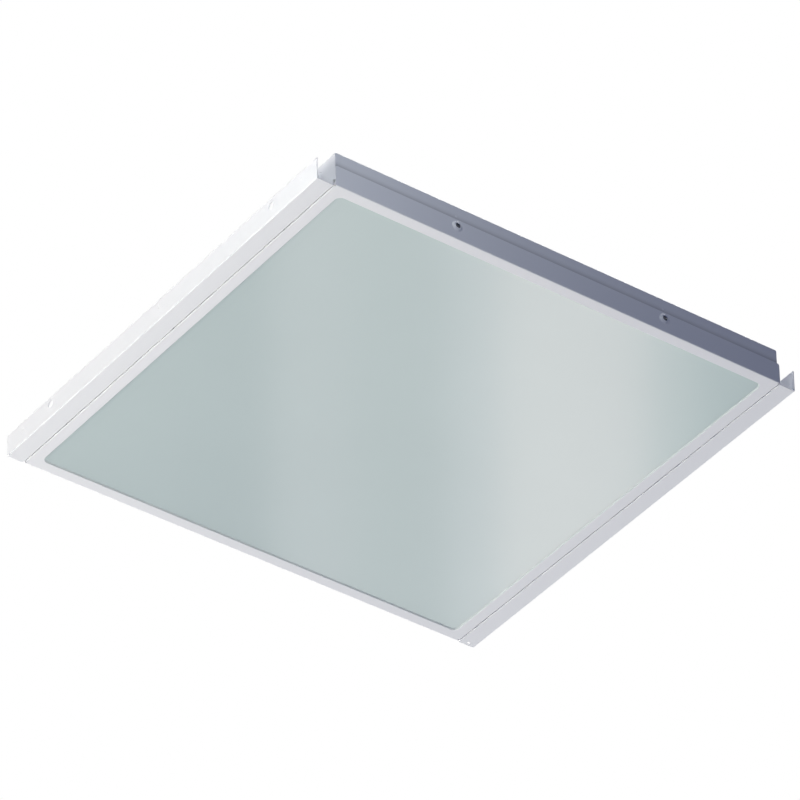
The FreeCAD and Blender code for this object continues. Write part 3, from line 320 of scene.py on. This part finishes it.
# colours as they are written; sizes, depths and pitches in metres
finishSet = {
    # satin polyester powder on sheet steel: even cool white, with an orange peel drawn a little coarse
    "powder_coat": {"name": "powderCoatedSteel", "low": "#EAEBED", "high": "#F0F1F2", "cloud": 0.09,
                    "rough": 0.42, "spread": 0.12, "grain": 0.0022, "depth": 0.000015},
    # the same coat on the pan, where it gets a painted shadow line above the door's edge
    "painted_shadow_coat": {"name": "powderCoatedPan", "low": "#EAEBED", "high": "#F0F1F2", "cloud": 0.09,
                   "rough": 0.42, "spread": 0.12, "grain": 0.0022, "depth": 0.000015},
    # toughened glass over an opal sheet: pale green grey, glossy, with the furnace's faint roller waves
    "toughened_glass": {"name": "toughenedGlass", "low": "#BCCBC9", "high": "#C4D3D1", "cloud": 0.25,
                        "rough": 0.085, "spread": 0.004, "grain": 0.07, "depth": 0.000008, "ior": 1.52},
    # stoved enamel on the reflector: a brighter, warmer white than the outside, nearly matt
    "reflector_enamel": {"name": "highWhiteEnamel", "low": "#F4F4F2", "high": "#FAFAF8", "cloud": 0.12,
                         "rough": 0.45, "grain": 0.003, "depth": 0.000012},
    # cast opal acrylic: milky, smooth and softly shiny
    "opal_acrylic": {"name": "opalAcrylic", "low": "#E6EAE9", "high": "#EEF1F0", "cloud": 0.2,
                     "rough": 0.35, "grain": 0.004, "depth": 0.000006},
    # extruded silicone: pale grey and matt, with a skin that catches no light
    "gasket_silicone": {"name": "siliconeGasket", "low": "#CFD7D6", "high": "#D8DEDD", "cloud": 0.02,
                        "rough": 0.6, "grain": 0.001, "depth": 0.000012},
    # closed-cell foam: near black, dull and pitted with fine cells
    "seal_foam": {"name": "closedCellFoam", "low": "#202124", "high": "#2B2C30", "cloud": 0.01,
                  "rough": 0.9, "grain": 0.0012, "depth": 0.00012},
    # bright zinc plating: grey metal clouded blue and straw, with drawn scratches
    "zinc_plate": {"name": "zincPlatedSteel", "low": "#B4BCC8", "high": "#D2CDBC", "cloud": 0.006,
                   "rough": 0.33, "spread": 0.22, "grain": 0.0008, "depth": 0.000009, "metal": 1.0},
    # blued spring steel: dark blue grey with a tight shine along its bends
    "spring_steel": {"name": "bluedSpringSteel", "low": "#3A3D45", "high": "#4B4E55", "cloud": 0.004,
                     "rough": 0.35, "grain": 0.001, "depth": 0.000006, "metal": 1.0},
    # white solder mask on an aluminium board: clean and satin
    "board_laminate": {"name": "whiteSolderMask", "low": "#ECECE6", "high": "#F3F3EF", "cloud": 0.03,
                       "rough": 0.38, "grain": 0.001, "depth": 0.000018},
    # moulded chip body: warm white, with a slight shine on its rim
    "led_white": {"name": "ledHousing", "low": "#EFEDE6", "high": "#F5F4EE", "cloud": 0.004,
                  "rough": 0.4, "grain": 0.0005, "depth": 0.000006},
    # reflowed solder: bright tin grey, smooth and nearly mirror-like
    "solder": {"name": "reflowedSolder", "low": "#BFC1C2", "high": "#D2D3D2", "cloud": 0.001,
               "rough": 0.25, "grain": 0.0004, "depth": 0.000006, "metal": 1.0},
    # silicone with phosphor cast in the chip: strong egg yellow with a wet shine
    "led_phosphor": {"name": "phosphorSilicone", "low": "#E8C84A", "high": "#F2D868", "cloud": 0.002,
                     "rough": 0.3, "grain": 0.0005, "depth": 0.000012},
    # natural nylon: milky ivory, slightly waxy
    "rivet_nylon": {"name": "naturalNylon", "low": "#E8E6DE", "high": "#F0EEE8", "cloud": 0.01,
                    "rough": 0.45, "grain": 0.001, "depth": 0.000012},
    # spark-eroded polycarbonate: light grey with an even fine texture
    "driver_case": {"name": "polycarbonateCase", "low": "#E3E3E0", "high": "#EAEAE8", "cloud": 0.03,
                    "rough": 0.55, "grain": 0.0008, "depth": 0.000036},
    # moulded polyamide of the terminal block: mid grey and dry
    "terminal_nylon": {"name": "terminalPolyamide", "low": "#CFCFCA", "high": "#D8D8D4", "cloud": 0.01,
                       "rough": 0.5, "grain": 0.0008, "depth": 0.000018},
    # moulded release buttons: clear orange, so that they stand out
    "button_nylon": {"name": "orangePolyamide", "low": "#D9671C", "high": "#E27628", "cloud": 0.005,
                     "rough": 0.45, "grain": 0.0006, "depth": 0.000012},
    # moulded cable gland: blue grey, matt with a fine texture
    "gland_nylon": {"name": "greyPolyamide", "low": "#8D9295", "high": "#999EA1", "cloud": 0.01,
                    "rough": 0.5, "grain": 0.0008, "depth": 0.000024},
    # moulded rubber: deep black and dull
    "black_rubber": {"name": "mouldedRubber", "low": "#161616", "high": "#1F1F1F", "cloud": 0.01,
                     "rough": 0.7, "grain": 0.0008, "depth": 0.000024},
    # tinned brass: pale warm metal, softly bright
    "tinned_brass": {"name": "tinnedBrass", "low": "#B8B2A0", "high": "#C8C3B4", "cloud": 0.004,
                     "rough": 0.3, "grain": 0.001, "depth": 0.000006, "metal": 1.0},
    # extruded PVC of the live lead: dark brown with a smooth, soft shine
    "brown_pvc": {"name": "brownPvc", "low": "#4A2A18", "high": "#54311D", "cloud": 0.01,
                  "rough": 0.4, "grain": 0.001, "depth": 0.000006},
    # the same on the neutral lead: a strong mid blue
    "blue_pvc": {"name": "bluePvc", "low": "#1B4F9C", "high": "#2258A6", "cloud": 0.01,
                 "rough": 0.4, "grain": 0.001, "depth": 0.000006},
    # the earth lead's ground colour: leaf green, under its yellow bands
    "green_yellow_pvc": {"name": "greenYellowPvc", "low": "#1C7238", "high": "#227F40", "cloud": 0.01,
                         "rough": 0.42, "grain": 0.001, "depth": 0.000006},
    # the light's plus lead: a clear signal red
    "red_pvc": {"name": "redPvc", "low": "#B01818", "high": "#BC2020", "cloud": 0.01,
                "rough": 0.4, "grain": 0.001, "depth": 0.000006},
    # the light's minus lead: black, with a faint line of shine along it
    "black_pvc": {"name": "blackPvc", "low": "#141414", "high": "#1C1C1C", "cloud": 0.01,
                  "rough": 0.4, "grain": 0.001, "depth": 0.000006},
    # the links from board to board: off-white, all but lost against the reflector
    "white_pvc": {"name": "whitePvc", "low": "#E6E6E2", "high": "#EEEEEA", "cloud": 0.01,
                  "rough": 0.4, "grain": 0.001, "depth": 0.000006},
}


def makeFinishes():
    made = {slot: makeFinish(**values) for slot, values in finishSet.items()}
    addPaintedShadowLine(made["painted_shadow_coat"])
    addTracks(made["board_laminate"])
    addScratches(made["zinc_plate"], (1.0, 0.12, 0.5))
    addScratches(made["spring_steel"], (0.15, 1.0, 1.0))
    addStripes(made["green_yellow_pvc"])
    print("made", len(made), "finishes")
    return {slot: finish["material"] for slot, finish in made.items()}


paperSet = {
    "finish": {"name": "studioPaper", "low": "#EDEDEB", "high": "#F4F4F2", "cloud": 0.8,
               "rough": 0.95, "grain": 0.004, "depth": 0.00002},
    "shine": 0.1,
    "glow": 0.7,  # the share of white that the camera sees besides the lamps' light
    "fadeFrom": 12.0,  # from here outwards the paper pales, and at fadeTo it is as white as the sky
    "fadeTo": 38.0,
}


# seamless studio paper: matt and plain, a soft grey under the light that fades to white far off
def paperFloor():
    finish = makeFinish(**paperSet["finish"])
    tree = finish["tree"]
    finish["shader"].inputs["Specular IOR Level"].default_value = paperSet["shine"]
    path = addNode(tree, "ShaderNodeLightPath")
    direct = addNode(tree, "ShaderNodeMath", {
        0: path.outputs["Is Glossy Ray"], 1: path.outputs["Is Transmission Ray"],
    }, operation="MAXIMUM")
    away = addNode(tree, "ShaderNodeVectorMath", {0: finish["point"]}, operation="LENGTH")
    pale = addNode(tree, "ShaderNodeMapRange", {
        "Value": away.outputs["Value"], "From Min": paperSet["fadeFrom"], "From Max": paperSet["fadeTo"],
        "To Min": paperSet["glow"], "To Max": 1.0,
    })
    glow = addNode(tree, "ShaderNodeMath", {0: path.outputs["Is Camera Ray"], 1: pale.outputs["Result"]},
                   operation="MULTIPLY")
    strength = addNode(tree, "ShaderNodeMath", {0: direct.outputs[0], 1: glow.outputs[0]},
                       operation="MAXIMUM")
    light = addNode(tree, "ShaderNodeEmission", {"Color": (1, 1, 1, 1), "Strength": strength.outputs[0]})
    both = addNode(tree, "ShaderNodeAddShader", {0: finish["shader"].outputs[0], 1: light.outputs[0]})
    tree.links.new(both.outputs[0], tree.nodes["Material Output"].inputs["Surface"])
    return finish["material"]


# every CAD node gets the finish of its material slot
def paintNodes():
    finishOf = {part["node"]: part["material_slot"] for part in frame["record"]["subparts"]}
    # the pan takes the coat with the painted shadow line
    finishOf["housing_pan"] = "painted_shadow_coat"
    for name, piece in nodes.items():
        piece.data.materials.clear()
        piece.data.materials.append(finishes[finishOf[name]])
    print("painted", len(nodes), "nodes")


# puts a finished shape in the scene, with its finish, on the body that carries it
def finishPiece(shape, name, finish, body="housing"):
    mesh = bpy.data.meshes.new(name)
    bmesh.ops.recalc_face_normals(shape, faces=shape.faces)
    shape.to_mesh(mesh)
    shape.free()
    piece = bpy.data.objects.new(name, mesh)
    scene.collection.objects.link(piece)
    mesh.materials.append(finishes[finish])
    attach(piece, body)
    return piece


def boxShape(size, middle):
    shape = bmesh.new()
    bmesh.ops.create_cube(shape, size=1.0)
    bmesh.ops.scale(shape, verts=shape.verts, vec=size)
    bmesh.ops.translate(shape, verts=shape.verts, vec=middle)
    return shape


# the same small shape at every place
def repeatShape(small, places):
    template = bpy.data.meshes.new("template")
    small.to_mesh(template)
    small.free()
    shape = bmesh.new()
    for place in places:
        before = len(shape.verts)
        shape.from_mesh(template)
        shape.verts.ensure_lookup_table()
        bmesh.ops.translate(shape, verts=shape.verts[before:], vec=place)
    bpy.data.meshes.remove(template)
    return shape


# soft lip of the glazing gasket, in the corner between the window's cut edge and the glass
lipSet = {
    "halfX": 0.2874,
    "halfY": 0.2860,
    "corner": 0.008,
    "low": 0.00025,  # just inside the door's face
    "glass": 0.0014,
    "reach": 0.0014,
}


def makeGlazingLip():
    height = lipSet["glass"] - lipSet["low"]
    shape = bmesh.new()
    bmesh.ops.create_grid(shape, x_segments=1, y_segments=1, size=1.0)
    bmesh.ops.scale(shape, verts=shape.verts, vec=(lipSet["halfX"], lipSet["halfY"], 1.0))
    bmesh.ops.translate(shape, verts=shape.verts, vec=(0, 0, lipSet["low"]))
    bmesh.ops.bevel(shape, geom=shape.verts[:], offset=lipSet["corner"], segments=8, profile=0.5,
                    affect="VERTICES", material=-1)
    middle = shape.faces[:]
    bmesh.ops.inset_region(shape, faces=middle, thickness=lipSet["reach"], depth=0.0, use_boundary=True)
    bmesh.ops.translate(shape, verts=middle[0].verts[:], vec=(0, 0, height))
    bmesh.ops.delete(shape, geom=middle, context="FACES_ONLY")
    halfway = lipSet["low"] + height / 2
    rim = [edge for edge in shape.edges if edge.is_boundary and edge.verts[0].co.z < halfway]
    grown = bmesh.ops.extrude_edge_only(shape, edges=rim)
    raised = [item for item in grown["geom"] if isinstance(item, bmesh.types.BMVert)]
    bmesh.ops.translate(shape, verts=raised, vec=(0, 0, height))
    bmesh.ops.bridge_loops(shape, edges=[edge for edge in shape.edges if edge.is_boundary])
    finishPiece(shape, "glazingLip", "gasket_silicone", "door")
    print("made the glazing lip")


# surface-mounted light chips: white moulded body, a well of phosphor, and a soldered lug at each end
chipSet = {
    "columns": (-0.195, -0.065, 0.065, 0.195),
    "perBoard": 18,
    "pitch": 0.025,
    "top": 0.0374,  # the board's face; the chips hang below it
    "length": 0.0035,
    "width": 0.0030,
    "height": 0.0007,
    "lugShows": 0.0001,  # past each end of the body
    "corner": 0.0002,
    "rim": 0.0003,
    "wellSlope": 0.0001,
    "wellDepth": 0.0002,
    "fillSpan": (0.00047, 0.00065),  # the phosphor's depths below the board, just short of the rim
    "fillRadius": 0.00115,
    "fillTaper": 0.72,
    "lugLength": 0.0005,
    "lugWidth": 0.0022,
    "lugHeight": 0.00022,
    "lugBevel": 0.00008,
}


def chipPlaces():
    half = (chipSet["perBoard"] - 1) / 2
    return [(x, (k - half) * chipSet["pitch"], chipSet["top"])
            for x in chipSet["columns"] for k in range(chipSet["perBoard"])]


def makeChipBodies():
    height = chipSet["height"]
    length = chipSet["length"] - 2 * chipSet["lugShows"]
    body = boxShape((length, chipSet["width"], height), (0, 0, -height / 2))
    uprights = [edge for edge in body.edges if abs(edge.verts[0].co.z - edge.verts[1].co.z) > height / 2]
    bmesh.ops.bevel(body, geom=uprights, offset=chipSet["corner"], segments=1, profile=0.5,
                    affect="EDGES", material=-1)
    body.normal_update()
    under = [face for face in body.faces if face.normal.z < -0.9]
    bmesh.ops.inset_region(body, faces=under, thickness=chipSet["rim"], depth=0.0)
    bmesh.ops.inset_region(body, faces=under, thickness=chipSet["wellSlope"], depth=-chipSet["wellDepth"])
    bodies = finishPiece(repeatShape(body, chipPlaces()), "ledBodies", "led_white")
    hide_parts("led_chips")


def makeChipPhosphor():
    high, low = chipSet["fillSpan"]
    well = bmesh.new()
    radius = chipSet["fillRadius"]
    bmesh.ops.create_cone(well, cap_ends=True, segments=12, radius1=radius * chipSet["fillTaper"],
                          radius2=radius, depth=low - high)
    bmesh.ops.scale(well, verts=well.verts, vec=(chipSet["length"] / chipSet["width"], 1.0, 1.0))
    bmesh.ops.translate(well, verts=well.verts, vec=(0, 0, -(low + high) / 2))
    finishPiece(repeatShape(well, chipPlaces()), "ledPhosphor", "led_phosphor")


def makeChipLugs():
    height = chipSet["lugHeight"]
    lug = boxShape((chipSet["lugLength"], chipSet["lugWidth"], height),
                   (chipSet["length"] / 2 - chipSet["lugLength"] / 2, 0, -height / 2))
    lower = [edge for edge in lug.edges if max(vert.co.z for vert in edge.verts) < -height / 2]
    bmesh.ops.bevel(lug, geom=lower, offset=chipSet["lugBevel"], segments=1, profile=0.5,
                    affect="EDGES", material=-1)
    across = chipSet["lugLength"] - chipSet["length"]
    places = [(x + shift, y, z) for x, y, z in chipPlaces() for shift in (0.0, across)]
    finishPiece(repeatShape(lug, places), "ledLugs", "solder")
    print("made", len(chipPlaces()), "light chips")


scene.view_settings.view_transform = "Standard"
makeCamera()
makeSky()
makeLamps()
makeBands()
floor = makeFloor()
floor.data.materials.append(paperFloor())
print("made the camera, the sky, the floor and", len(lampSet) + len(bandSet["panels"]), "lamps")
finishes = makeFinishes()
paintNodes()
makeChipBodies()
makeChipPhosphor()
makeChipLugs()
makeGlazingLip()
